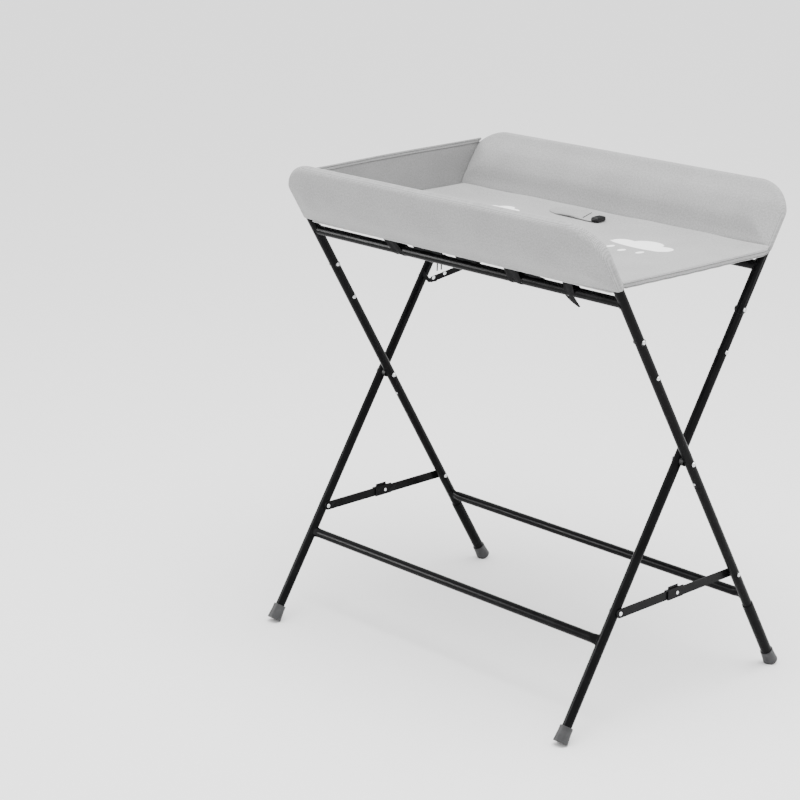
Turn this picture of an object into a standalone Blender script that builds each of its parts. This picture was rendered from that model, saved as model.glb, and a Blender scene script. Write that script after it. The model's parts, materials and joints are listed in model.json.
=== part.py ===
"""Folding changing table: two tube frames crossed on a pivot, with padded sides and a mat between them.

Frame: metres, +Z up, +X towards the open foot end, -Y the front. The origin is on the floor, under
the middle of the table. Each tube frame is drawn in its own plane: x across, y towards the inside of
the table above the pivot, z up the legs, with z = 0 on the pivot. The rear frame is the front frame
turned half a turn about the vertical, so one function builds both.
"""
from math import acos, cos, pi, radians, sin

import bmesh
import bpy
from mathutils import Matrix, Vector

# Tubes
TUBE_R = 0.0095
TUBE_WALL = 0.0012
GAP = 0.0003                 # between neighbours that touch
SIDES = 6                    # bevel resolution of a tube: 16 flats

# The crossed frames
HALF_WIDTH = 0.400           # pivot-plane centre to each leg of a frame
SHIFT = 0.014                # each frame stands this far off centre, so that the legs pass side by side
LEAN = radians(32.0)         # of each frame from the vertical
PIVOT_Z = 0.487

# Heights up a leg, measured from the pivot
FLOOR = -PIVOT_Z / cos(LEAN)
RAIL = 0.4009
HOOP_TOP = 0.5601
HOOP_BEND_R = 0.068
HOOP_END = 0.2990            # where the hoop meets the upper leg, over an inner joining tube
LEG_SPLIT = -0.059           # where the upper leg plugs into the lower leg
STRETCHER = -0.3673
END_SLEEVE = -0.3953         # below this the front legs are the wider end sleeve
END_SLEEVE_R = 0.0110
LINK_PIN = -0.3072
HOOP_SCREW = 0.310
LEG_SCREW = 0.2217

# Inner tubes that join the hoop to the legs, held by the screws above and below the joint
JOINT_R = TUBE_R - TUBE_WALL - GAP
JOINT_WALL = 0.0010
JOINT_LOW = 0.2050
JOINT_HIGH = 0.3270

# Feet, measured from where the leg's axis meets the floor
FOOT_R = 0.0150
FOOT_NECK_R = 0.0130
FOOT_END = 0.0058            # square to the leg, so its inner edge is worn level with the floor
FOOT_LENGTH = 0.0380
SOCKET_FLOOR = 0.0110

# Main pivot
BOLT_R = 0.0030
BOLT_HEAD_R = 0.0048
BOLT_HEAD = 0.0022
SPACER_R = 0.0085

# Spreader links, in the gap between the two leg planes
LINK_HALF = 0.0090           # half the height of a bar
LINK_THICK = 0.0022
LINK_FIRST_X = 0.0024        # from the rear frame's leg surface to the first bar
LINK_STEP = LINK_THICK + GAP
PIN_R = 0.0020
PIN_HEAD_R = 0.0042
PIN_HEAD = 0.0020
STOP_HEIGHT = 0.0022
STOP_BLOCK = (-0.027, 0.018)     # square end of the rear bar, along the bar from the rivet
STOP_LIP = (-0.034, 0.006)
STOP_TAB = (-0.024, 0.004)
STOP_TAB_HEIGHT = 0.0070

# Padding
BOLSTER_HALF = 0.0280
BOLSTER_ROUND = 0.0270
BOLSTER_OVER = 0.0125        # padding outside the hoop's centre line
BOLSTER_FOOT = 0.4245        # lower edge, up the leg
MAT_HALF_X = 0.402
MAT_HALF_Y = 0.206
MAT_TOP = 0.8545
MAT_THICK = 0.0115
MAT_ROUND = 0.0050
PANEL_X = -0.400
PANEL_THICK = 0.0060
PANEL_BOTTOM = 0.858
PANEL_TOP = 0.954
PANEL_MARGIN = 0.008         # clear of the padded sides
HEM_THICK = 0.0040
HEM_INSET = 0.016
BELT_LOW_Y = 0.164
BELT_HIGH_Y = 0.197
BUCKLE_LOW_X = 0.006
BUCKLE_HIGH_X = 0.022
BUCKLE_HIGH = 0.011
STRAP_THICK = 0.002

# Stay between the rear frame's left leg and its rail, on the inner side
STAY_FOOT = (0.3635, 0.2163)
STAY_HEAD = (0.0790, 0.3927)
STAY_HALF = 0.0065
STAY_THICK = 0.0020
STAY_RIVETS = (0.009, 0.038)     # along the stay from its foot
LUG = [(0.3936, 0.2315), (0.3936, 0.2215), (0.3700, 0.2100), (0.3500, 0.2165), (0.3500, 0.2250),
       (0.3720, 0.2190)]

# Two cords from the mat down to the stay: x, y and the height of their lower end
CORD_R = 0.0015
CORDS = [(-0.3700, 0.1158, 0.695), (-0.3606, 0.1185, 0.699)]

COLOURS = {
    "black_paint": ("161617", 0.30, 0.0),
    "black_plastic": ("1D1D1E", 0.45, 0.0),
    "foot_rubber": ("333334", 0.60, 0.0),
    "zinc": ("B4B5B6", 0.35, 1.0),
    "bare_steel": ("8C8D8F", 0.40, 1.0),
    "grey_fabric": ("B9B9B9", 0.90, 0.0),
    "mat_fabric": ("C6C6C6", 0.90, 0.0),
    "hem_fabric": ("D2D2D2", 0.90, 0.0),
    "black_webbing": ("1B1B1C", 0.85, 0.0),
}


def clear_scene():
    for thing in list(bpy.data.objects):
        bpy.data.objects.remove(thing, do_unlink=True)


def collection(name):
    group = bpy.data.collections.new(name)
    bpy.context.scene.collection.children.link(group)
    return group


def linear(channel):
    value = int(channel, 16) / 255
    return value / 12.92 if value <= 0.04045 else ((value + 0.055) / 1.055) ** 2.4


def material(name):
    if name in bpy.data.materials:
        return bpy.data.materials[name]
    colour, roughness, metallic = COLOURS[name]
    made = bpy.data.materials.new(name)
    made.use_nodes = True
    shader = made.node_tree.nodes["Principled BSDF"]
    shader.inputs["Base Color"].default_value = (*[linear(colour[i:i + 2]) for i in (0, 2, 4)], 1)
    shader.inputs["Roughness"].default_value = roughness
    shader.inputs["Metallic"].default_value = metallic
    return made


def empty(name, place, turn):
    holder = bpy.data.objects.new(name, None)
    parts.objects.link(holder)
    holder.matrix_world = Matrix.Translation(place) @ turn
    return holder


def finish(piece, name, look, parent=None):
    """Name a piece, give it its material and shading, and hang it from its frame."""
    piece.name = name
    piece.data.name = name
    piece.data.materials.clear()
    piece.data.materials.append(material(look))
    if piece.type == "MESH":
        piece.data.shade_smooth()
        piece.data.set_sharp_from_angle(angle=radians(35))
    if parent:
        piece.parent = parent
    return piece


def add(data, name, group=None):
    piece = bpy.data.objects.new(name, data)
    (group or parts).objects.link(piece)
    return piece


def cutter(piece):
    parts.objects.unlink(piece)
    cutters.objects.link(piece)
    piece.hide_render = True
    piece.display_type = "WIRE"
    return piece


def curve_object(name, splines, closed, depth=0.0, resolution=SIDES, extrude=0.0, flat=False, caps=True,
                 swell=None):
    curve = bpy.data.curves.new(name, "CURVE")
    curve.dimensions = "2D" if flat else "3D"
    if flat:
        curve.fill_mode = "BOTH"
    curve.extrude = extrude
    curve.bevel_depth = depth
    curve.bevel_resolution = resolution
    curve.use_fill_caps = caps and not flat
    for points in splines:
        spline = curve.splines.new("POLY")
        spline.points.add(len(points) - 1)
        for slot, point in zip(spline.points, points):
            slot.co = (*point, 1) if len(point) == 3 else (*point, 0, 1)
        for slot, factor in zip(spline.points, swell or []):
            slot.radius = factor
        spline.use_cyclic_u = closed
    return add(curve, name)


def to_mesh(piece):
    """Turn a curve object into a welded mesh object in the same place."""
    bpy.context.view_layer.update()
    ready = piece.evaluated_get(bpy.context.evaluated_depsgraph_get())
    mesh = bpy.data.meshes.new_from_object(ready)
    work = bmesh.new()
    work.from_mesh(mesh)
    bmesh.ops.remove_doubles(work, verts=work.verts, dist=0.00001)
    bmesh.ops.recalc_face_normals(work, faces=work.faces)
    work.to_mesh(mesh)
    work.free()
    place = piece.matrix_world.copy()
    bpy.data.objects.remove(piece, do_unlink=True)
    result = add(mesh, mesh.name)
    result.matrix_world = place
    return result


def boolean(piece, tool, operation="DIFFERENCE"):
    step = piece.modifiers.new(operation.lower(), "BOOLEAN")
    step.operation = operation
    step.object = tool


def cylinder(radius, start, end, sides=24):
    """A round cutter or bar from start to end."""
    start, end = Vector(start), Vector(end)
    work = bmesh.new()
    along = end - start
    turn = along.to_track_quat("Z", "Y").to_matrix().to_4x4()
    bmesh.ops.create_cone(work, cap_ends=True, segments=sides, radius1=radius, radius2=radius,
                          depth=along.length, matrix=Matrix.Translation((start + end) / 2) @ turn)
    mesh = bpy.data.meshes.new("cylinder")
    work.to_mesh(mesh)
    work.free()
    return add(mesh, "cylinder")


def box(low, high):
    low, high = Vector(low), Vector(high)
    work = bmesh.new()
    size = Matrix.Diagonal((*(high - low), 1))
    bmesh.ops.create_cube(work, size=1, matrix=Matrix.Translation((low + high) / 2) @ size)
    mesh = bpy.data.meshes.new("box")
    work.to_mesh(mesh)
    work.free()
    return add(mesh, "box")


def tube(path, radius=TUBE_R, wall=TUBE_WALL, swell=None):
    """A bent pipe with open ends; swell scales its radius at each point of the path."""
    pipe = to_mesh(curve_object("tube", [path], closed=False, depth=radius, caps=False, swell=swell))
    shell = pipe.modifiers.new("wall", "SOLIDIFY")
    shell.thickness = wall
    shell.offset = -1
    return pipe


def turned(profile, sides=14):
    """A turned piece about X: profile points are (x, radius), from the +X end down the outside."""
    mesh = bpy.data.meshes.new("turned")
    work = bmesh.new()
    points = [work.verts.new((radius, 0, along)) for along, radius in profile]
    for first, second in zip(points, points[1:]):
        work.edges.new((first, second))
    work.to_mesh(mesh)
    work.free()
    piece = add(mesh, "turned")
    sweep = piece.modifiers.new("turn", "SCREW")
    sweep.steps = sweep.render_steps = sides
    sweep.use_merge_vertices = True
    sweep.merge_threshold = 0.00001
    sweep.use_smooth_shade = True
    return piece


def lay_along_x(piece, place):
    """Turn a piece made about Z so that its axis lies along X, with its origin at place."""
    piece.matrix_world = Matrix.Translation(place) @ Matrix.Rotation(pi / 2, 4, "Y")
    return piece


def pin(low, high, place, radius, head_radius, head, inner_radius=None, inner_head=None):
    """A headed pin along X. low and high are where its two heads bear."""
    tail_radius = inner_radius or head_radius
    tail = inner_head or head
    profile = [
        (high + head, 0), (high + head, head_radius * 0.62), (high + head * 0.55, head_radius * 0.93),
        (high, head_radius), (high, radius), (low, radius), (low, tail_radius),
        (low - tail * 0.55, tail_radius * 0.93), (low - tail, tail_radius * 0.62), (low - tail, 0),
    ]
    return lay_along_x(turned(profile), (0, place[0], place[1]))


def hoop_path():
    """The hoop's centre line: up one leg, round two bends, and down the other."""
    path = [(HALF_WIDTH, 0, HOOP_END + GAP / 2)]
    for side, start in ((1, 0), (-1, pi / 2)):
        middle = Vector((side * (HALF_WIDTH - HOOP_BEND_R), 0, HOOP_TOP - HOOP_BEND_R))
        for step in range(7):
            angle = start + step * pi / 12
            path.append(middle + HOOP_BEND_R * Vector((cos(angle), 0, sin(angle))))
    path.append((-HALF_WIDTH, 0, HOOP_END + GAP / 2))
    return [tuple(point) for point in path]


def drill(piece, x, height, radius, holder):
    """A hole through a leg, along X."""
    reach = TUBE_R + 0.004
    tool = cutter(cylinder(radius + GAP + 0.0001, (x - reach, 0, height), (x + reach, 0, height)))
    tool.parent = holder
    boolean(piece, tool)


def side_name(frame, x):
    return "right" if (x > 0) == (frame == "front") else "left"


def floor_box(holder):
    """Everything under the floor, seen from the frame's own axes."""
    tool = cutter(box((-0.6, -0.6, -0.1), (0.6, 0.6, 0)))
    tool.parent = holder
    tool.matrix_parent_inverse = holder.matrix_world.inverted()
    return tool


def lower_leg(frame, x):
    low, high = FLOOR + SOCKET_FLOOR + GAP, LEG_SPLIT - GAP / 2
    if frame == "rear":
        return tube([(x, 0, low), (x, 0, high)])
    wide = END_SLEEVE_R / TUBE_R
    path = [(x, 0, low), (x, 0, END_SLEEVE - 0.0006), (x, 0, END_SLEEVE + 0.0006), (x, 0, high)]
    return tube(path, swell=[wide, wide, 1, 1])


def make_legs(frame, holder):
    for x in (HALF_WIDTH, -HALF_WIDTH):
        side = side_name(frame, x)
        upper = tube([(x, 0, LEG_SPLIT + GAP / 2), (x, 0, HOOP_END - GAP / 2)])
        finish(upper, f"{frame}_leg_upper_{side}", "black_paint", holder)
        drill(upper, x, LEG_SCREW, PIN_R, holder)
        drill(upper, x, 0, BOLT_R, holder)
        joint = tube([(x, 0, JOINT_LOW), (x, 0, JOINT_HIGH)], JOINT_R, JOINT_WALL)
        finish(joint, f"{frame}_joint_tube_{side}", "bare_steel", holder)
        drill(joint, x, LEG_SCREW, PIN_R, holder)
        drill(joint, x, HOOP_SCREW, PIN_R, holder)
        lower = lower_leg(frame, x)
        finish(lower, f"{frame}_leg_lower_{side}", "black_paint", holder)
        drill(lower, x, LINK_PIN, PIN_R, holder)


def make_hoop(frame, holder):
    hoop = tube(hoop_path())
    finish(hoop, f"{frame}_hoop_tube", "black_paint", holder)
    for x in (HALF_WIDTH, -HALF_WIDTH):
        drill(hoop, x, HOOP_SCREW, PIN_R, holder)


def make_crossbar(frame, name, height, holder):
    """A rail between the two legs, its ends cut to sit against them."""
    bar = tube([(-HALF_WIDTH, 0, height), (HALF_WIDTH, 0, height)])
    finish(bar, f"{frame}_{name}", "black_paint", holder)
    for x in (HALF_WIDTH, -HALF_WIDTH):
        tool = cutter(cylinder(TUBE_R + GAP, (x, 0, height - 0.03), (x, 0, height + 0.03)))
        tool.parent = holder
        boolean(bar, tool)


def make_feet(frame, holder):
    bore = (END_SLEEVE_R if frame == "front" else TUBE_R) + GAP
    profile = [
        (SOCKET_FLOOR, 0), (SOCKET_FLOOR, bore), (FOOT_LENGTH, bore), (FOOT_LENGTH, FOOT_NECK_R),
        (FOOT_END + 0.010, FOOT_R), (FOOT_END, FOOT_R), (FOOT_END, 0),
    ]
    for x in (HALF_WIDTH, -HALF_WIDTH):
        foot = turned(profile, sides=20)
        foot.location = (x, 0, FLOOR)
        finish(foot, f"{frame}_foot_{side_name(frame, x)}", "foot_rubber", holder)
        boolean(foot, floor_box(holder))


def make_screws(frame, holder):
    reach = TUBE_R + GAP
    for x in (HALF_WIDTH, -HALF_WIDTH):
        for height, name in ((HOOP_SCREW, "hoop"), (LEG_SCREW, "leg")):
            screw = pin(x - reach, x + reach, (0, height), PIN_R, PIN_HEAD_R, PIN_HEAD)
            finish(screw, f"{frame}_{name}_screw_{side_name(frame, x)}", "zinc", holder)


def bolster_outline():
    """The padded side seen square on, drawn inside its rounded edge."""
    half = HALF_WIDTH + BOLSTER_OVER - BOLSTER_ROUND
    corner = HOOP_BEND_R + BOLSTER_OVER - BOLSTER_ROUND
    top = HOOP_TOP + BOLSTER_OVER - BOLSTER_ROUND
    low = BOLSTER_FOOT + BOLSTER_ROUND
    points = [(half, low)]
    for side, start in ((1, 0), (-1, pi / 2)):
        for step in range(7):
            angle = start + step * pi / 12
            points.append((side * (half - corner) + corner * cos(angle), top - corner + corner * sin(angle)))
    return points + [(-half, low)]


def make_bolster(frame, holder):
    pad = curve_object("bolster", [bolster_outline()], closed=True, depth=BOLSTER_ROUND, resolution=3,
                       extrude=BOLSTER_HALF - BOLSTER_ROUND, flat=True)
    pad.matrix_world = Matrix.Rotation(pi / 2, 4, "X")
    pad = to_mesh(pad)
    pad.data.transform(pad.matrix_world)
    pad.matrix_world = Matrix.Identity(4)
    finish(pad, f"{frame}_bolster", "grey_fabric", holder)
    channel = cutter(to_mesh(curve_object("channel", [hoop_path()], closed=False, depth=TUBE_R + 0.0005)))
    channel.parent = holder
    boolean(pad, channel)


def make_frame(frame, half_turn):
    turn = Matrix.Rotation(half_turn, 4, "Z")
    place = turn @ Vector((SHIFT, 0, PIVOT_Z))
    holder = empty(f"{frame}_frame_axis", place, turn @ Matrix.Rotation(LEAN, 4, "X"))
    make_hoop(frame, holder)
    make_legs(frame, holder)
    make_crossbar(frame, "rail", RAIL, holder)
    make_crossbar(frame, "stretcher", STRETCHER, holder)
    make_feet(frame, holder)
    make_screws(frame, holder)
    make_bolster(frame, holder)
    return holder


def make_pivots():
    """The two bolts that the frames turn on, with a spacer between the legs."""
    for side, name in ((1, "right"), (-1, "left")):
        middle = side * HALF_WIDTH
        reach = SHIFT + TUBE_R + GAP
        bolt = pin(middle - reach, middle + reach, (0, PIVOT_Z), BOLT_R, BOLT_HEAD_R, BOLT_HEAD)
        finish(bolt, f"pivot_bolt_{name}", "zinc")
        gap_half = SHIFT - TUBE_R - GAP
        hole = BOLT_R + GAP + 0.0001
        ring = turned([(gap_half, hole), (gap_half, SPACER_R), (-gap_half, SPACER_R), (-gap_half, hole),
                       (gap_half, hole)], sides=24)
        finish(lay_along_x(ring, (middle, 0, PIVOT_Z)), f"pivot_spacer_{name}", "black_plastic")


def circle(middle, radius, count=16):
    return [(middle + radius * cos(2 * pi * step / count), radius * sin(2 * pi * step / count))
            for step in range(count)]


def link_bar(length, holes):
    """A flat bar with round ends, from 0 to length along y, its first face on x = 0."""
    outline = []
    for end, start in ((length, -pi / 2), (0, pi / 2)):
        for step in range(9):
            angle = start + step * pi / 8
            outline.append((end + LINK_HALF * cos(angle), LINK_HALF * sin(angle)))
    splines = [outline] + [circle(hole, PIN_R + GAP + 0.0001) for hole in holes]
    bar = curve_object("bar", splines, closed=True, extrude=LINK_THICK / 2, flat=True)
    bar.matrix_world = (Matrix.Translation((LINK_THICK / 2, 0, 0)) @ Matrix.Rotation(pi / 2, 4, "Z")
                        @ Matrix.Rotation(pi / 2, 4, "X"))
    bar = to_mesh(bar)
    bar.data.transform(bar.matrix_world)
    bar.matrix_world = Matrix.Identity(4)
    return bar


def make_stop(bar):
    """The rear bar's square end, folded over the top of the front bar, which keeps the pair from sagging."""
    high = LINK_HALF + GAP + STOP_HEIGHT
    rest = LINK_HALF + GAP
    block = box((0, STOP_BLOCK[0], -LINK_HALF - 0.001), (LINK_THICK, STOP_BLOCK[1], high))
    lip = box((-LINK_STEP, STOP_LIP[0], rest), (LINK_THICK, STOP_LIP[1], high))
    tab = box((0.0004 - LINK_STEP, STOP_TAB[0], rest + 0.0004),
              (-0.0004, STOP_TAB[1], rest + STOP_TAB_HEIGHT))
    hole = cylinder(PIN_R + GAP + 0.0001, (-0.010, 0, 0), (0.010, 0, 0), 16)
    for tool, operation in ((block, "UNION"), (lip, "UNION"), (tab, "UNION"),
                            (hole, "DIFFERENCE")):
        cutter(tool)
        tool.parent = bar.parent
        boolean(bar, tool, operation)


def make_links():
    """On each side, two bars between a leg of each frame, joined by a rivet in the middle."""
    reach = -LINK_PIN * sin(LEAN)
    height = PIVOT_Z + LINK_PIN * cos(LEAN)
    for side, name in ((1, "right"), (-1, "left")):
        surface = side * HALF_WIDTH - SHIFT + TUBE_R
        first_x = surface + LINK_FIRST_X
        second_x = first_x + LINK_STEP
        front_axis = empty(f"link_front_axis_{name}", (first_x, -reach, height), Matrix.Identity(4))
        rear_axis = empty(f"link_rear_axis_{name}", (second_x, 0, height), Matrix.Identity(4))
        front_bar = link_bar(reach, (0, reach))
        finish(front_bar, f"link_front_{name}", "black_paint", front_axis)
        rear_bar = link_bar(reach, ())
        finish(rear_bar, f"link_rear_{name}", "black_paint", rear_axis)
        make_stop(rear_bar)
        rivet = pin(first_x - GAP, second_x + LINK_THICK + GAP, (0, height), PIN_R, 0.0036, 0.0012)
        finish(rivet, f"link_rivet_{name}", "zinc")
        front_pin = pin(surface - 2 * TUBE_R - GAP, second_x, (-reach, height), PIN_R, PIN_HEAD_R, 0.0018)
        finish(front_pin, f"link_pin_front_{name}", "zinc")
        hole = PIN_R + GAP + 0.0001
        ring = turned([(LINK_FIRST_X - GAP, hole), (LINK_FIRST_X - GAP, 0.005), (GAP, 0.005), (GAP, hole),
                       (LINK_FIRST_X - GAP, hole)])
        finish(lay_along_x(ring, (surface, -reach, height)), f"link_spacer_{name}", "zinc")
        far_leg = side * HALF_WIDTH + SHIFT
        stub = far_leg - TUBE_R - GAP
        rear_pin = pin(stub, far_leg + TUBE_R + GAP, (reach, height), PIN_R, PIN_HEAD_R, PIN_HEAD,
                       inner_radius=0.005, inner_head=0.0012)
        finish(rear_pin, f"link_pin_rear_{name}", "zinc")


def make_mat():
    inset_x = MAT_HALF_X - MAT_ROUND
    inset_y = MAT_HALF_Y - MAT_ROUND
    outline = [(inset_x, -inset_y), (inset_x, inset_y), (-inset_x, inset_y), (-inset_x, -inset_y)]
    mat = curve_object("mat", [outline], closed=True, depth=MAT_ROUND, resolution=2,
                       extrude=MAT_THICK / 2 - MAT_ROUND, flat=True)
    mat.location = (0, 0, MAT_TOP - MAT_THICK / 2)
    finish(to_mesh(mat), "mat_pad", "mat_fabric")
    hem = box((MAT_HALF_X + GAP, HEM_INSET - MAT_HALF_Y, MAT_TOP - MAT_THICK),
              (MAT_HALF_X + GAP + HEM_THICK, MAT_HALF_Y - HEM_INSET, MAT_TOP + 0.001))
    finish(hem, "foot_hem", "hem_fabric")


def inner_face(height):
    """How far from the middle the inside of a padded side is, at a height above the floor."""
    return (height - PIVOT_Z) * sin(LEAN) / cos(LEAN) - BOLSTER_HALF / cos(LEAN)


def make_head_panel():
    low = inner_face(PANEL_BOTTOM) - PANEL_MARGIN
    high = inner_face(PANEL_TOP) - PANEL_MARGIN
    outline = [(-low, PANEL_BOTTOM), (low, PANEL_BOTTOM), (high, PANEL_TOP), (-high, PANEL_TOP)]
    panel = curve_object("panel", [outline], closed=True, extrude=PANEL_THICK / 2, flat=True)
    panel.matrix_world = (Matrix.Translation((PANEL_X, 0, 0)) @ Matrix.Rotation(pi / 2, 4, "Z")
                          @ Matrix.Rotation(pi / 2, 4, "X"))
    finish(to_mesh(panel), "head_panel", "grey_fabric")


def bevelled(piece, width):
    edge = piece.modifiers.new("edge", "BEVEL")
    edge.width = width
    edge.segments = 2
    return piece


def make_belt():
    """A strap on the mat beside the rear padding, with its buckle."""
    low = MAT_TOP + GAP
    strap = box((-0.120, BELT_LOW_Y, low), (BUCKLE_LOW_X - GAP, BELT_HIGH_Y - 0.002, low + STRAP_THICK))
    finish(strap, "belt_strap", "grey_fabric")
    case = box((BUCKLE_LOW_X, BELT_LOW_Y, low), (BUCKLE_HIGH_X, BELT_HIGH_Y, low + BUCKLE_HIGH))
    buckle = bevelled(case, 0.003)
    finish(buckle, "belt_buckle", "black_plastic")


def make_stay(holder):
    """A flat diagonal stay from a lug on the left leg of the rear frame up to its rail."""
    foot, head = Vector(STAY_FOOT), Vector(STAY_HEAD)
    along = head - foot
    near = TUBE_R + GAP
    bar = box((0, near, -STAY_HALF), (along.length, near + STAY_THICK, STAY_HALF))
    finish(bar, "stay_bar", "black_paint", holder)
    bar.matrix_local = (Matrix.Translation((foot.x, 0, foot.y))
                        @ Matrix.Rotation(-acos(along.x / along.length), 4, "Y"))
    lug = curve_object("lug", [LUG], closed=True, extrude=STAY_THICK / 2, flat=True)
    lug.matrix_world = Matrix.Rotation(pi / 2, 4, "X")
    lug = to_mesh(lug)
    lug.data.transform(lug.matrix_world)
    finish(lug, "stay_bracket", "black_paint", holder)
    lug.matrix_local = Matrix.Translation((0, near - GAP - STAY_THICK / 2, 0))
    face = near + STAY_THICK + GAP
    for number, reach in enumerate(STAY_RIVETS, start=1):
        centre = foot + along.normalized() * reach
        rivet = cylinder(0.0040, (centre.x, face, centre.y), (centre.x, face + 0.0018, centre.y), 16)
        finish(rivet, f"stay_rivet_{number}", "zinc", holder)


def make_cords():
    """Two short cords from the underside of the mat straight down to the stay."""
    top = MAT_TOP - MAT_THICK - 0.002
    for number, (x, y, low) in enumerate(CORDS, start=1):
        slack = (x + 0.0012, y, (top + low) / 2)
        cord = curve_object("cord", [[(x, y, top), slack, (x, y, low)]], closed=False, depth=CORD_R,
                            resolution=2)
        finish(to_mesh(cord), f"tie_cord_{number}", "black_webbing")


def make_tail():
    """The loose end of one band, hanging under the front rail."""
    holder = bpy.data.objects["front_frame_axis"]
    top = RAIL - TUBE_R - 0.0026
    outline = [(0.262, top), (0.284, top), (0.290, top - 0.017), (0.297, top - 0.030), (0.275, top - 0.020)]
    flap = curve_object("tail", [outline], closed=True, extrude=0.0007, flat=True)
    flap.matrix_world = Matrix.Rotation(pi / 2, 4, "X")
    flap = to_mesh(flap)
    flap.data.transform(flap.matrix_world)
    flap.matrix_world = Matrix.Identity(4)
    finish(flap, "band_tail", "black_webbing", holder)


clear_scene()
parts = collection("changing_table")
cutters = collection("cutters")
make_frame("front", 0)
rear_holder = make_frame("rear", pi)
make_pivots()
make_links()
make_mat()
make_head_panel()
make_belt()
make_stay(rear_holder)
make_cords()
make_tail()
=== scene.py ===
import json
from math import atan2, cos, pi, radians, sin

import bmesh
import bpy
import numpy as np
from mathutils import Matrix, Vector


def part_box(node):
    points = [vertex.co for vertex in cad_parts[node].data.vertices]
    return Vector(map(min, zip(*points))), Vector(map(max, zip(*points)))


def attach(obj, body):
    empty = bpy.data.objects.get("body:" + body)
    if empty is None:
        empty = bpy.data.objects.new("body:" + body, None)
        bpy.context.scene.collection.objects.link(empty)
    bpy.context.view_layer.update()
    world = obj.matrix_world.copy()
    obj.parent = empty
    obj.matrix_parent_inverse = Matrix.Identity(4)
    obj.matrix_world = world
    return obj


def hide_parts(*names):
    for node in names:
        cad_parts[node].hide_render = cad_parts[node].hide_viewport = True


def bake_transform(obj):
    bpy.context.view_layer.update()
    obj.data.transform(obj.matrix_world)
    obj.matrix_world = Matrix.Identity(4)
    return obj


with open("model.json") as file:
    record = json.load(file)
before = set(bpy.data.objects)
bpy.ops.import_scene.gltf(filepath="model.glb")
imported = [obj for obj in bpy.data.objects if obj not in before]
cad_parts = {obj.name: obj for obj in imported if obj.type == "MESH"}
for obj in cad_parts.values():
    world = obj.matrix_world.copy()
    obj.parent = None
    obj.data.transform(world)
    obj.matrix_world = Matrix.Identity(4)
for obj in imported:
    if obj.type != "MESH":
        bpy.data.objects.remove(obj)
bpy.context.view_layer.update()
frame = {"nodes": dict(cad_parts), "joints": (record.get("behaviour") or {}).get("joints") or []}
print("frame loaded")


def boxOf(name):
    low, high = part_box(name)
    return np.array(low), np.array(high)


def middleOf(name):
    low, high = boxOf(name)
    return (low + high) / 2


pivot = np.array([joint["pos_m"] for joint in frame["joints"] if joint["name"] == "fold"][0])
railMiddle = middleOf("front_rail")
lean = atan2(-railMiddle[1], railMiddle[2] - pivot[2])
legLow, legHigh = boxOf("front_leg_upper_right")
leftLow, leftHigh = boxOf("front_leg_upper_left")
tubeRadius = (legHigh[0] - legLow[0]) / 2
halfWidth = (legHigh[0] + legLow[0] - leftHigh[0] - leftLow[0]) / 4
shift = (legHigh[0] + legLow[0] + leftHigh[0] + leftLow[0]) / 4


def upLeg(z, outward=0.0):
    # distance up a leg from the pivot of the point whose height is z, allowing for the tube's slanted end
    return (z - pivot[2] + outward * tubeRadius * sin(lean)) / cos(lean)


def legSpan(name):
    low, high = boxOf(name)
    return upLeg(low[2], 1), upLeg(high[2], -1)


railUp = (railMiddle[2] - pivot[2]) / cos(lean)
legSplitUp = legSpan("front_leg_upper_right")[0]
stretcherUp = (middleOf("front_stretcher")[2] - pivot[2]) / cos(lean)
hoopLow = upLeg(boxOf("front_hoop_tube")[0][2], 1)
hoopTop = (boxOf("front_hoop_tube")[1][2] - tubeRadius - pivot[2]) / cos(lean)
floorUp = -pivot[2] / cos(lean)
hoopScrewUp = (middleOf("front_hoop_screw_right")[2] - pivot[2]) / cos(lean)


def frameMatrix(name):
    # across, towards the inside, up the leg: the rear frame is the front one turned half a turn
    base = Matrix.Translation((shift, 0, pivot[2])) @ Matrix.Rotation(lean, 4, "X")
    return base if name == "front" else Matrix.Rotation(pi, 4, "Z") @ base


def placed(points, matrix):
    # the same points carried by a 4 by 4 matrix
    turn = np.array(matrix)
    return points @ turn[:3, :3].T + turn[:3, 3]


def sideName(frameName, x):
    return "right" if (x > 0) == (frameName == "front") else "left"


def gridFaces(rows, columns, closedRows, closedColumns):
    # quads between neighbouring points of a grid, wrapping round where it is closed
    index = np.arange(rows * columns).reshape(rows, columns)
    if closedRows:
        index = np.vstack([index, index[:1]])
    if closedColumns:
        index = np.hstack([index, index[:, :1]])
    return np.stack([index[:-1, :-1], index[:-1, 1:], index[1:, 1:], index[1:, :-1]], axis=-1).reshape(-1, 4)


def surface(name, grid, closedRows=False, closedColumns=True, caps=True, smoothAngle=35):
    # a mesh from a grid of points: quads between neighbours, open ends capped, faces outwards
    rows, columns = grid.shape[:2]
    faces = gridFaces(rows, columns, closedRows, closedColumns).tolist()
    if caps and not closedRows:
        faces.append(list(range(columns))[::-1])
        faces.append(list(range((rows - 1) * columns, rows * columns)))
    mesh = bpy.data.meshes.new(name)
    mesh.from_pydata(grid.reshape(-1, 3).tolist(), [], faces)
    piece = bpy.data.objects.new(name, mesh)
    bpy.context.scene.collection.objects.link(piece)
    work = bmesh.new()
    work.from_mesh(mesh)
    bmesh.ops.remove_doubles(work, verts=work.verts, dist=1e-6)
    bmesh.ops.recalc_face_normals(work, faces=work.faces)
    work.to_mesh(mesh)
    work.free()
    mesh.shade_smooth()
    mesh.set_sharp_from_angle(angle=radians(smoothAngle))
    return piece


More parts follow.
